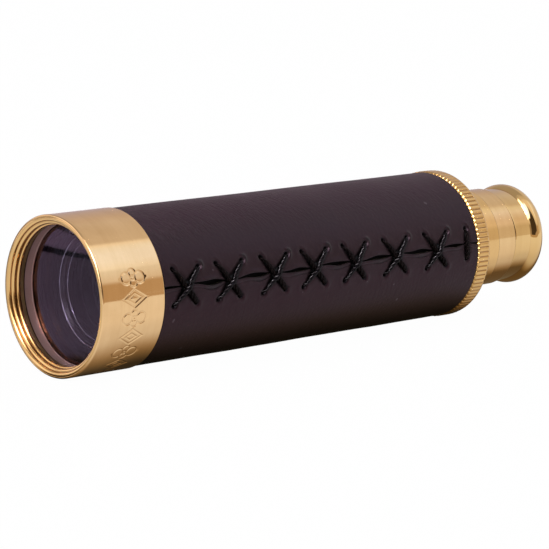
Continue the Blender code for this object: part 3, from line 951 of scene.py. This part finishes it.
def make_leather():
    turn = 2 * math.pi * SLEEVE_R
    stations = np.linspace(SLEEVE_START, SLEEVE_END, 400)
    ends = np.array([0.0, 0.03, 0.08])
    stations = np.r_[SLEEVE_START + ends, stations[1:-1], SLEEVE_END - ends[::-1]]
    s = np.unique(np.round(stations, 4))[:, None]
    seam, gap = seam_line(s), seam_gap(s)
    span = turn - 2 * gap

    # the outer skin; girths measured from the seam, dense near it on both sides
    seam_zone = 7.2
    near = np.linspace(0, 1, 52) ** 1.18 * seam_zone
    far = np.linspace(seam_zone, turn - seam_zone, 112)[1:-1]
    share = np.r_[near, far, turn - near[::-1]][None, :] / turn
    skin_g = seam + gap + share * span              # increasing upwards
    wrapped = np.where(skin_g > turn / 2, skin_g - turn, skin_g)
    to_seam = np.minimum(share, 1 - share) * span
    to_end = np.minimum(s - SLEEVE_START, SLEEVE_END - s)
    skin_r = (SLEEVE_R + surface_lift(s, wrapped) - rounded_off(to_seam, 0.26)
              - rounded_off(to_end, 0.25))

    def wall(column, lean):
        """The cut edge: two columns of points down the wall of the slit."""
        girth = skin_g[:, column, None] + lean * np.array([0.03, 0.05])
        return girth, lerp(skin_r[:, column, None], SLEEVE_BORE, np.array([0.3, 0.7]))

    # the skin ends at the seam's lower edge and starts at its upper one
    low_g, low_r = wall(-1, 1.0)
    high_g, high_r = wall(0, -1.0)
    # inside: a coarser skin against the tube
    flesh_g = seam + gap + np.linspace(1, 0, 60)[None, :] * span
    flesh_r = np.full(flesh_g.shape, SLEEVE_BORE)
    girths = np.hstack([skin_g, low_g, flesh_g, high_g[:, ::-1]])
    radii = np.hstack([skin_r, low_r, flesh_r, high_r[:, ::-1]])
    verts = tube_points(s, radii, girths / SLEEVE_R)
    rows, cols = verts.shape[:2]
    faces = grid_faces(rows, cols, wrap_rows=False) + end_caps(rows, cols)
    column_index = np.zeros(cols, int)
    column_index[skin_g.shape[1] - 1:] = 1          # both walls and the flesh side
    indices = np.tile(column_index, rows - 1).tolist() + [1, 1]
    place("leather_sleeve", verts.reshape(-1, 3), faces, ["leather", "raw_edge"], "barrel",
          "leather_wrap", indices, sharp=60)


make_leather()


# =====================================================================
# lacing: laid waxed cord, three plies
# =====================================================================
CORD = 0.56                 # radius over the plies
LAY, PLIES = 3.45, 3        # length of a full twist


def frames_along(path):
    """Outward normal and sideways direction at each point of a path."""
    tangent = np.gradient(path, axis=0)
    tangent /= np.linalg.norm(tangent, axis=1)[:, None]
    out = path * np.array([0.0, 1.0, 1.0])
    out /= np.linalg.norm(out, axis=1)[:, None]
    side = np.cross(tangent, out)
    side /= np.linalg.norm(side, axis=1)[:, None]
    return np.cross(side, tangent), side


def tube_mesh(path, radius, sides):
    """A closed tube round a path (n,3) in metres; radius in metres, per point."""
    out, side = frames_along(path)
    a = full_turn(sides)
    rings = (path[:, None, :]
             + out[:, None, :] * (np.cos(a)[None, :, None] * radius[:, None, None])
             + side[:, None, :] * (np.sin(a)[None, :, None] * radius[:, None, None]))
    faces = grid_faces(len(path), sides, wrap_rows=False) + end_caps(len(path), sides)
    return rings.reshape(-1, 3), faces


def laid_cord(path, size, phase):
    """Plies twisted together round the path; size is the cord's radius in mm,
    one number for each point."""
    step = np.r_[0, np.cumsum(np.linalg.norm(np.diff(path, axis=0), axis=1))] / MM
    out, side = frames_along(path)
    parts = []
    for k in range(PLIES):
        turn = 2 * math.pi * (step / LAY + k / PLIES) + phase
        r = size * 0.51 * MM
        line = path + out * (np.cos(turn) * r)[:, None] + side * (np.sin(turn) * r)[:, None]
        parts.append(tube_mesh(line, size * (0.50 + 0.02 * np.sin(step * 5.0 + k)) * MM, 8))
    return merge(parts)


def strand_path(top, foot, over):
    """From under the hide at one hole, over the surface, to under it at the other.

    Also gives the distance in mm from the nearer hole and the share of the way.
    """
    t = np.linspace(0, 1, 84)
    way = foot - top
    length = np.linalg.norm(way)
    bow = 0.12 * np.sin(math.pi * t) * (1 if over else -1) + 0.05 * np.sin(3 * math.pi * t + top[0])
    s = top[0] + way[0] * t + bow * (-way[1] / length)
    g = top[1] + way[1] * t + bow * (way[0] / length)
    away = np.minimum(t, 1 - t) * length
    # rises out of the hole on a tight bend, then lies in its pressed groove
    rise = smooth(-0.25, 1.30, away)
    lie = SLEEVE_R + CORD * 0.52
    low = SLEEVE_R - 0.72
    r = low + (lie - low) * rise ** 0.8
    # one strand climbs over the other halfway
    middle = bell((t - 0.5) * length, 1.30)
    r = r + (0.66 * middle if over else -0.22 * middle)
    return tube_points(s, r, g / SLEEVE_R), away, t


def loose_fibres(foot, over):
    """A few fibres that stray from the foot of a strand."""
    loose = np.random.default_rng(int(abs(foot[0]) * 10) + (1 if over else 0))
    fibres = []
    for _ in range(5 if over else 2):
        start_s = foot[0] + loose.uniform(-0.35, 0.35)
        start_g = foot[1] + loose.uniform(-0.15, 0.35)
        way = loose.uniform(-2.6, -0.6) if over else loose.uniform(-1.4, 0.4)
        reach = loose.uniform(0.5, 1.1)
        u = np.linspace(0, 1, 7)
        s = start_s + reach * u * math.cos(way) + 0.12 * u * u
        g = start_g + reach * u * math.sin(way) * 0.8
        r = SLEEVE_R + 0.12 + 0.16 * np.sin(math.pi * u) - 0.10 * u
        fibres.append(tube_mesh(tube_points(s, r, g / SLEEVE_R), (0.055 - 0.03 * u) * MM, 5))
    return fibres


def make_stitch(name, legs, node):
    parts, indices = [], []
    for top, foot, over in legs:
        path, away, t = strand_path(top, foot, over)
        # the cord's size at its holes, as a share of its size in the middle
        at_top, at_foot = (0.82, 0.48) if over else (0.46, 1.04)
        thin = np.where(t < 0.5, at_top, at_foot)
        size = CORD * (thin + (1 - thin) * smooth(0.0, 3.9, away))
        cord = laid_cord(path, size, phase=top[0] * 1.7)
        fibres = loose_fibres(foot, over)
        parts += [cord] + fibres
        indices += [0 if over else 1] * len(cord[1])
        indices += [1] * sum(len(faces) for _, faces in fibres)
    verts, faces = merge(parts)
    place(name, verts, faces, ["cord", "cord_dull"], "barrel", node,
          indices, sharp=60)


for k in range(len(STITCHES)):
    make_stitch("lacing_cross_%d" % (k + 1), LEGS[2 * k:2 * k + 2], "cross_stitch_%d" % (k + 1))
make_stitch("lacing_end", LEGS[-1:], "end_stitch")


# =====================================================================
# knurled collar
# =====================================================================
def make_collar():
    start, end, top = 110.7, 114.5, BEZEL_R
    bore = DRAWS[0][0] + SLIDE_GAP
    # station, radius, share of the groove's depth that shows there
    rows = [(start, 16.9, 1), (start + 0.03, 17.02, 1), (start + 0.34, top - 0.06, 1),
            (start + 0.42, top - 0.01, 1), (start + 0.48, top, 1)]
    rows += [(s, top, 1) for s in np.linspace(start + 0.6, end - 0.62, 7)]
    rows += [(end - 0.54, top, 1), (end - 0.48, top - 0.01, 0.5), (end - 0.42, top - 0.05, 0),
             (end - 0.18, top - 0.09, 0), (end - 0.06, top - 0.17, 0), (end, top - 0.30, 0),
             (end, 16.9, 0), (end, 16.6, 0)]
    # down the rear face, then back through the inside
    rows += [(end, 13.4, 0), (end, 12.2, 0), (end, 11.85, 0), (end - 0.1, bore, 0),
             (end - 1.4, bore, 0), (end - 1.5, 11.9, 0), (end - 1.5, 16.0, 0),
             (end - 1.6, 16.15, 0), (start + 0.1, 16.15, 0), (start, 16.25, 0)]
    s, r, share = (column[:, None] for column in oriented(np.array(rows, float)).T)
    points_a_tooth = 12
    count = TEETH * points_a_tooth
    u = (np.arange(count) % points_a_tooth) / points_a_tooth     # 0..1 over a tooth
    # a rounded tooth with a narrow V between
    groove = bell(np.minimum(u, 1 - u), 0.11) * 0.15 + 0.035 * (np.cos(2 * math.pi * u) * 0.5 + 0.5)
    grid = tube_points(s, r - share * groove[None, :], full_turn(count)[None, :])
    place("knurled_end_collar", grid.reshape(-1, 3), grid_faces(len(rows), count), ["collar"],
          "barrel", "knurled_collar", sharp=65)


make_collar()


# =====================================================================
# draws
# =====================================================================
def make_drawn_tube(number, radius, bore, front, rear):
    """Bright outside, blackened in the bore and at the front end."""
    def pick(s, r):
        if number == 1 and s < front + 0.08 and r < bore + 0.12:
            return 2
        return s < front + 1.4 or r < (bore + radius) / 2

    turned("drawn_tube_%d" % number,
           [(front, bore, .1), (front, radius, .1), (front + 1.5, radius, 0),
            (rear, radius, .1), (rear, bore, .1)],
           ["drawn", "satin" if number == 1 else "black", "bright_edge"],
           DRAW_BODIES[number - 1], "draw_tube_%d" % number, pick=pick)


def make_spool(number, radius, front, hub, flange):
    """Two flanges on a hub round a tube; the first has a bright, chamfered mouth."""
    rear, thick = front + 6.0, 1.2
    mouth_r = radius + .9
    mouth = [(front, radius + .1, .1)]
    if number == 1:
        mouth = [(front + .8, radius + .1, .05), (front, mouth_r, .08)]

    def pick(s, r):
        return number == 1 and s < front + 0.09 and abs(r - mouth_r) < 0.12

    turned("stop_spool_%d" % number,
           mouth + [(front, flange, .15), (front + thick, flange, .1), (front + thick, hub, .1),
                    (rear - thick, hub, .1), (rear - thick, flange, .1), (rear, flange, .15),
                    (rear, radius + .1, .1)],
           ["satin", "bright_edge"], DRAW_BODIES[number - 1],
           "stop_ring_%d" % number, 192, pick)


for n, (radius, bore, front, rear, spool, hub, flange, felt_in, felt_out) in enumerate(DRAWS, 1):
    make_drawn_tube(n, radius, bore, front, rear)
    make_spool(n, radius, spool, hub, flange)
    # a felt band between the flanges
    ring("felt_band_%d" % n, spool + 1.5, spool + 6.0 - 1.5, felt_in, felt_out, "felt",
         "friction_%d" % n, "friction_ring_%d" % n, edge=0.25, segments=128)

# name, front, rear, outer radius, rounding of the front edge
FERRULES = [("first_ferrule", 114.7, 123.3, 12.2, .18), ("second_ferrule", 123.5, 129.45, 11.7, .14)]
for k, (name, front, rear, outer, rounding) in enumerate(FERRULES):
    # wide enough for its own tube, then narrowed behind it to the next one
    step = DRAWS[k][3] + 0.3
    seat, slide = DRAWS[k][0] + 0.1, DRAWS[k + 1][0] + SLIDE_GAP
    ferrule = "ferrule_%d" % (k + 1)
    turned(name, [(front, seat, .1), (front, outer, rounding), (rear, outer, .16),
                  (rear, slide, .2), (step, slide, .1), (step, seat, .1)],
           [ferrule], DRAW_BODIES[k], ferrule)

for k, bush_front in enumerate((96.0, 98.0)):
    ring("slide_bush_%d" % (k + 1), bush_front, DRAWS[k][3], DRAWS[k + 1][0] + SLIDE_GAP,
         DRAWS[k][1] - 0.1, "inside", DRAW_BODIES[k],
         "guide_bush_%d" % (k + 1), edge=.1, segments=96)


# =====================================================================
# eyepiece
# =====================================================================
def make_cup():
    outline = [(129.65, 8.3), (129.65, 8.45), (129.65, 10.60)]
    outline += arc(130.22, 10.63, 0.57, -86, -5, 9)
    outline += [(130.35, 11.2), (131.2, 11.2), (133.4, 11.2), (134.9, 11.2), (135.08, 11.2)]
    # a crisp corner, the front of the rim's bead, then the dome of the eye end
    outline += arc(137.20, 9.32, 2.82, -48.2, 0, 22)
    outline += arc(137.20, 9.741, 2.399, 0, 90, 26, stretch=2.7 / 2.399)[1:]
    # the bowl, down to the eye lens
    outline += [(139.9, 9.62), (139.9, 9.42), (139.86, 9.30), (139.78, 9.14)]
    outline += [(139.74 - 1.44 * (w ** 0.92), lerp(9.08, 5.28, w)) for w in np.linspace(0.06, 1, 18)]
    # inside, from the eye hole forwards
    outline += [(138.27, 5.22), (138.15, 5.2), (137.6, 5.2), (137.5, 5.28), (137.5, 7.6),
                (137.42, 7.7), (134.9, 7.7), (134.8, 7.8), (134.8, 8.2)]
    spun("eyepiece_eye_cup", np.array(outline), ["cup", "satin"], "eyepiece_draw",
         "eyepiece_cup", pick=lambda s, r: r < 8.4 and s < 138.1, sharp=35)


make_cup()

# name, CAD node, front, rear, front curve, rear curve, radius, face
for name, node, front, rear, front_curve, rear_curve, half, face in (
    ("eye_glass", "eye_lens", 134.8, 137.3, 14.0, 0, 7.4, "eye"),
    ("field_glass", "field_lens", 117.2, 120.6, 16.0, 0, 7.4, "clear"),
    ("erector_glass_front", "erector_lens_front", 27.2, 29.9, 0, -17.0, 6.6, "clear"),
    ("erector_glass_rear", "erector_lens_rear", 56.6, 59.3, 17.0, 0, 6.6, "clear"),
):
    lens(name, front, rear, front_curve, rear_curve, half, "eyepiece_draw",
         node, face, segments=96, rings=12)

# name, CAD node, front, rear, inner radius, outer radius
for name, node, front, rear, inner, outer in (
    ("eyepiece_spacer_tube", "eyepiece_spacer", 121.9, 136.3, 6.9, 7.5),
    ("eyepiece_field_stop", "field_stop", 121.0, 121.6, 4.5, 7.5),
    ("eyepiece_lock_ring", "eyepiece_retaining_ring", 114.9, 116.9, 6.5, 7.5),
    ("erector_cell_tube", "erector_cell", 24.0, 62.0, 6.9, 7.5),
    ("erector_lock_ring_front", "erector_ring_front", 24.3, 26.6, 5.7, 6.75),
    ("erector_aperture_stop", "erector_stop", 43.0, 43.6, 2.2, 6.75),
    ("erector_lock_ring_rear", "erector_ring_rear", 59.6, 61.8, 5.7, 6.75),
):
    ring(name, front, rear, inner, outer, "black", "eyepiece_draw", node,
         edge=.08, segments=96)

# =====================================================================
# floor, light and camera
# =====================================================================
scene = bpy.context.scene
scene.view_settings.view_transform = "Standard"
scene.view_settings.look = "None"


def floor_material():
    """White paper. In reflections it shows the shadow of the tube and, far off,
    the dark edge of the sweep."""
    mat, t = material("studio_floor_paper")
    coord = t.object_coords()
    paper = t.noise(coord, scale=60.0, detail=2.0)
    lit = t.node("BsdfDiffuse", Color=t.mix(paper, (0.88, 0.88, 0.88), (0.90, 0.90, 0.90)))
    x, y, _ = t.separate(coord)
    station = (x - FRONT) * 1000.0
    y = y * 1000.0

    # distance from the line under the tube, growing past both its ends
    d = abs(y) * t.ramp(station, span=(108.0, 126.0), to=(1.0, 1.22))
    d = d + t.ramp(station, span=(6.0, 18.0), to=(1.0, 0.0)) * 2.5
    d = d + t.ramp(station, span=(-25.0, 6.0), to=(1.0, 0.0)) * 25.0
    # the shadow: dark and warm under the tube, pale and cool away from it
    level = (t.ramp(d, span=(7.0, 24.0), to=(0.04, 0.84))
             + t.ramp(d, span=(20.0, 40.0), to=(0.0, 0.16)))
    level = t.math("MAXIMUM", level, t.ramp(station, span=(108.0, 134.0), to=(0.0, 0.17)))
    tint = t.mix(t.ramp(level, span=(0.15, 0.90)), (1.0, 0.76, 0.42), (1.0, 1.06, 1.12))
    behind = t.ramp(y, span=(20.0, 90.0), to=(1.0, 0.80))
    shade = t.combine(*(level * behind for _ in range(3)))
    colour = t.mix(1.0, tint, shade, "MULTIPLY")
    # towards -Y it ends in the warm strip of the sweep's edge, which lies at a slant
    edge = x + y * 0.00080
    warm = (t.ramp(y, span=(-215.0, -185.0), to=(1.0, 0.0))
            * t.ramp(edge, span=(-0.060, -0.020), to=(1.0, 0.0)))
    colour = t.mix(warm, colour, (0.60, 0.48, 0.34))
    # far behind: a dark band, then a bright cloth
    colour = t.mix(t.window(y, (325.0, 400.0), soft=25.0), colour, (0.05, 0.05, 0.06))
    colour = t.mix(t.ramp(y, span=(420.0, 470.0)), colour, (1.42, 1.42, 1.58))

    # the camera sees almost pure white, mirrors see the painted colour
    mirrored = t.node("Emission", Color=colour)
    glow = t.node("Emission", Color=WHITE)
    ray = t.node("LightPath")
    seen = t.mix_shader(ray["Is Camera Ray"] * 0.985, lit, glow)
    t.surface(t.mix_shader(ray["Is Glossy Ray"], seen, mirrored))
    mat.cycles.emission_sampling = "NONE"
    return mat


def make_floor():
    mesh = bpy.data.meshes.new("studio_floor")
    half, z = 9.0, -0.01752                    # metres
    corners = [(-half, -half, z), (half, -half, z), (half, half, z), (-half, half, z)]
    mesh.from_pydata(corners, [], [(0, 1, 2, 3)])
    mesh.materials.append(floor_material())
    floor = bpy.data.objects.new("studio_floor", mesh)
    scene.collection.objects.link(floor)


make_floor()

# Levels of the room against psi, the degrees up from -Y, over the top, to +Y
ROOM_LEVELS = [
    (0.0, (0.60, 0.48, 0.34)), (17.0, (0.60, 0.48, 0.34)), (22.0, (0.92, 0.96, 1.02)),
    (35.0, (1.00, 1.14, 1.30)), (50.0, (1.02, 1.24, 1.62)), (62.0, (1.00, 1.22, 1.60)),
    (71.0, (0.98, 1.16, 1.40)), (76.0, (0.98, 1.06, 1.14)), (80.0, (0.78, 0.79, 0.79)),
    (120.0, (0.75, 0.75, 0.75)), (132.0, (0.70, 0.66, 0.63)), (146.0, (0.62, 0.57, 0.57)),
    (158.0, (0.57, 0.51, 0.52)), (172.0, (0.52, 0.46, 0.50)), (180.0, (0.52, 0.46, 0.50)),
]
# the same, for directions with a lower x than the softbox's middle
WHITE_LEVELS = [
    (0.0, (0.56, 0.48, 0.40)), (17.0, (0.58, 0.50, 0.42)), (22.0, 0.92), (35.0, 1.06),
    (50.0, 1.16), (62.0, 1.16), (71.0, 1.10), (76.0, 1.04), (80.0, 0.78), (90.0, 0.76),
]
# and for those with a higher x
SIDE_LEVELS = [
    (0.0, (0.80, 0.77, 0.69)), (14.0, (0.79, 0.76, 0.68)), (24.0, (0.77, 0.73, 0.64)),
    (34.0, (0.95, 0.91, 0.89)), (44.0, (0.92, 0.88, 0.88)), (54.0, (0.98, 0.99, 1.09)),
    (64.0, (1.07, 1.15, 1.35)), (75.0, (1.02, 1.10, 1.15)), (84.0, (0.82, 0.81, 0.80)),
    (90.0, (0.80, 0.79, 0.78)),
]
# gain of the softbox against the x of the direction
BOX_GAIN = [(-0.2, 1.0), (0.3, 1.0), (0.50, 1.12), (0.57, 1.28), (0.61, 1.16), (0.66, 1.0),
            (0.75, 1.0), (1.0, 1.0)]


def mirrored_room(t):
    """The room that the object reflects: a big softbox in front and above, a warm
    strip just over the horizon, a dimmer ceiling behind."""
    x, y, z = t.separate(t.node("TexCoord")["Generated"])
    psi = t.math("ARCTAN2", z, y * -1.0) * DEGREES
    base = t.levels(psi, ROOM_LEVELS)
    gain = t.levels(x, BOX_GAIN)
    gain = t.mix(t.window(psi, (40.0, 76.0), soft=5.0), WHITE, gain)
    colour = t.mix(1.0, base, gain, "MULTIPLY")
    # white towards -X, warmer towards +X
    to_white = t.ramp(x, span=(0.55, 0.46)) * t.ramp(psi, span=(90.0, 84.0))
    colour = t.mix(to_white, colour, t.levels(psi, WHITE_LEVELS))
    to_side = t.ramp(x, span=(0.61, 0.695)) * t.ramp(psi, span=(90.0, 82.0))
    colour = t.mix(to_side, colour, t.levels(psi, SIDE_LEVELS))
    # behind, out of the softbox, the room is dimmer towards the front of the tube
    dim = t.window(psi, (95.0, 140.0), soft=12.0) * t.ramp(x, span=(0.60, 0.50))
    colour = t.mix(dim, colour, (0.49, 0.49, 0.50))
    # straight behind the eyepiece there is only pale wall
    wall = t.ramp(psi, span=(80.0, 110.0), to=(0.85, 0.75))
    colour = t.mix(t.ramp(x, span=(0.78, 0.86)), colour, t.combine(wall, wall, wall))
    # low down towards -X, a dull brown
    brown = t.ramp(psi, span=(30.0, 20.0)) * t.ramp(x, span=(-0.15, -0.3))
    colour = t.mix(brown, colour, (0.42, 0.36, 0.30))
    # a narrow bright panel above a dark doorway, and grey between them
    panel = t.window(psi, (40.0, 66.0), soft=7.0) * t.window(x, (-0.34, -0.12), soft=0.05)
    colour = t.mix(panel, colour, (1.9, 2.5, 4.2))
    limit = t.ramp(psi, span=(22.0, 62.0), to=(0.32, 0.04), kind="LINEAR")
    limit = limit - t.ramp(psi, span=(9.0, 1.5), to=(0.0, 0.30))
    door = t.ramp(x - limit, span=(0.05, -0.03)) * t.ramp(x, span=(-0.62, -0.52))
    lower = door * t.ramp(psi, span=(44.0, 36.0))
    slant = t.ramp(psi, span=(38.0, 60.0), to=(-0.34, -0.10), kind="LINEAR")
    tail = (door * t.ramp(x - slant, span=(0.0, 0.08))) * t.ramp(psi, span=(66.0, 56.0))
    grey = t.ramp(psi, span=(40.0, 60.0), to=(0.10, 0.55))
    colour = t.mix(tail, colour, t.combine(grey, grey, grey))
    colour = t.mix(lower, colour, (0.075, 0.060, 0.045))
    # a softbox far towards -X with a hot core, and one behind
    left = t.window(psi, (40.0, 84.0), soft=5.0) * t.ramp(x, span=(-0.33, -0.40))
    colour = t.mix(left, colour, (4.2, 4.2, 4.4))
    core = t.window(psi, (54.0, 70.0), soft=6.0) * t.window(x, (-0.80, -0.50), soft=0.05)
    colour = t.mix(core, colour, (22.0, 22.0, 23.0))
    rear = t.window(psi, (118.0, 148.0), soft=5.0) * t.ramp(x, span=(-0.42, -0.50))
    colour = t.mix(rear, colour, (1.6, 1.6, 1.62))
    # low behind, towards -X: a bright cloth with a dark box on it
    cloth = t.ramp(psi, span=(150.0, 156.0)) * t.ramp(x, span=(-0.05, -0.15))
    colour = t.mix(cloth, colour, (1.42, 1.42, 1.58))
    azimuth = t.math("ARCTAN2", x, y * -1.0) * DEGREES
    crate = t.window(azimuth, (-151.0, -142.0), soft=1.0) * t.ramp(psi, span=(168.0, 172.0))
    return t.mix(crate, colour, (0.34, 0.33, 0.37))


def make_world():
    """White to the camera, the painted room to mirrors, an even light to the rest."""
    world = bpy.data.worlds.new("studio")
    scene.world = world
    world.use_nodes = True
    t = Nodes(world.node_tree, "ShaderNodeOutputWorld")
    mirror = t.node("Background", Color=mirrored_room(t))
    soft = t.node("Background", Color=(0.86, 0.87, 0.90))
    white = t.node("Background", Color=WHITE)
    ray = t.node("LightPath")
    inner = t.mix_shader(ray["Is Glossy Ray"], soft, mirror)
    t.surface(t.mix_shader(ray["Is Camera Ray"], inner, white))
    world.cycles.sampling_method = "NONE"


make_world()


def softbox(name, azimuth, elevation, distance, width, height, radiance, colour):
    """An area light, aimed at the origin; azimuth from -Y towards +X, sizes in metres."""
    a, e = math.radians(azimuth), math.radians(elevation)
    way = Vector((math.sin(a) * math.cos(e), -math.cos(a) * math.cos(e), math.sin(e)))
    data = bpy.data.lights.new(name, "AREA")
    data.shape = "RECTANGLE"
    data.size, data.size_y = width, height
    data.energy = radiance * math.pi * width * height
    data.color = colour
    obj = bpy.data.objects.new(name, data)
    scene.collection.objects.link(obj)
    obj.location = way * distance
    obj.rotation_mode = "QUATERNION"
    obj.rotation_quaternion = way.to_track_quat("Z", "Y")
    obj.visible_camera = False
    obj.visible_glossy = False


softbox("key_softbox", azimuth=57, elevation=40, distance=1.3, width=0.70, height=0.30,
        radiance=0.8, colour=(0.92, 0.98, 1.0))
softbox("left_softbox", azimuth=-60, elevation=46, distance=1.4, width=0.7, height=0.5,
        radiance=0.5, colour=(1.0, 0.99, 0.97))
softbox("top_softbox", azimuth=20, elevation=80, distance=1.3, width=0.9, height=0.9,
        radiance=0.35, colour=(1.0, 1.0, 1.0))


def make_camera():
    data = bpy.data.cameras.new("camera")
    data.sensor_width = 36.0
    data.lens = 162.52
    data.clip_start, data.clip_end = 0.02, 60.0
    camera = bpy.data.objects.new("camera", data)
    scene.collection.objects.link(camera)
    # in front of the objective, on the -Y side and above, looking back along the tube
    camera.location = (FRONT - 303.82 * MM, -418.05 * MM, 90.96 * MM)
    look = Vector((0.6497, 0.7420, -0.1651))
    camera.rotation_mode = "QUATERNION"
    camera.rotation_quaternion = look.to_track_quat("-Z", "Y")
    scene.camera = camera


make_camera()
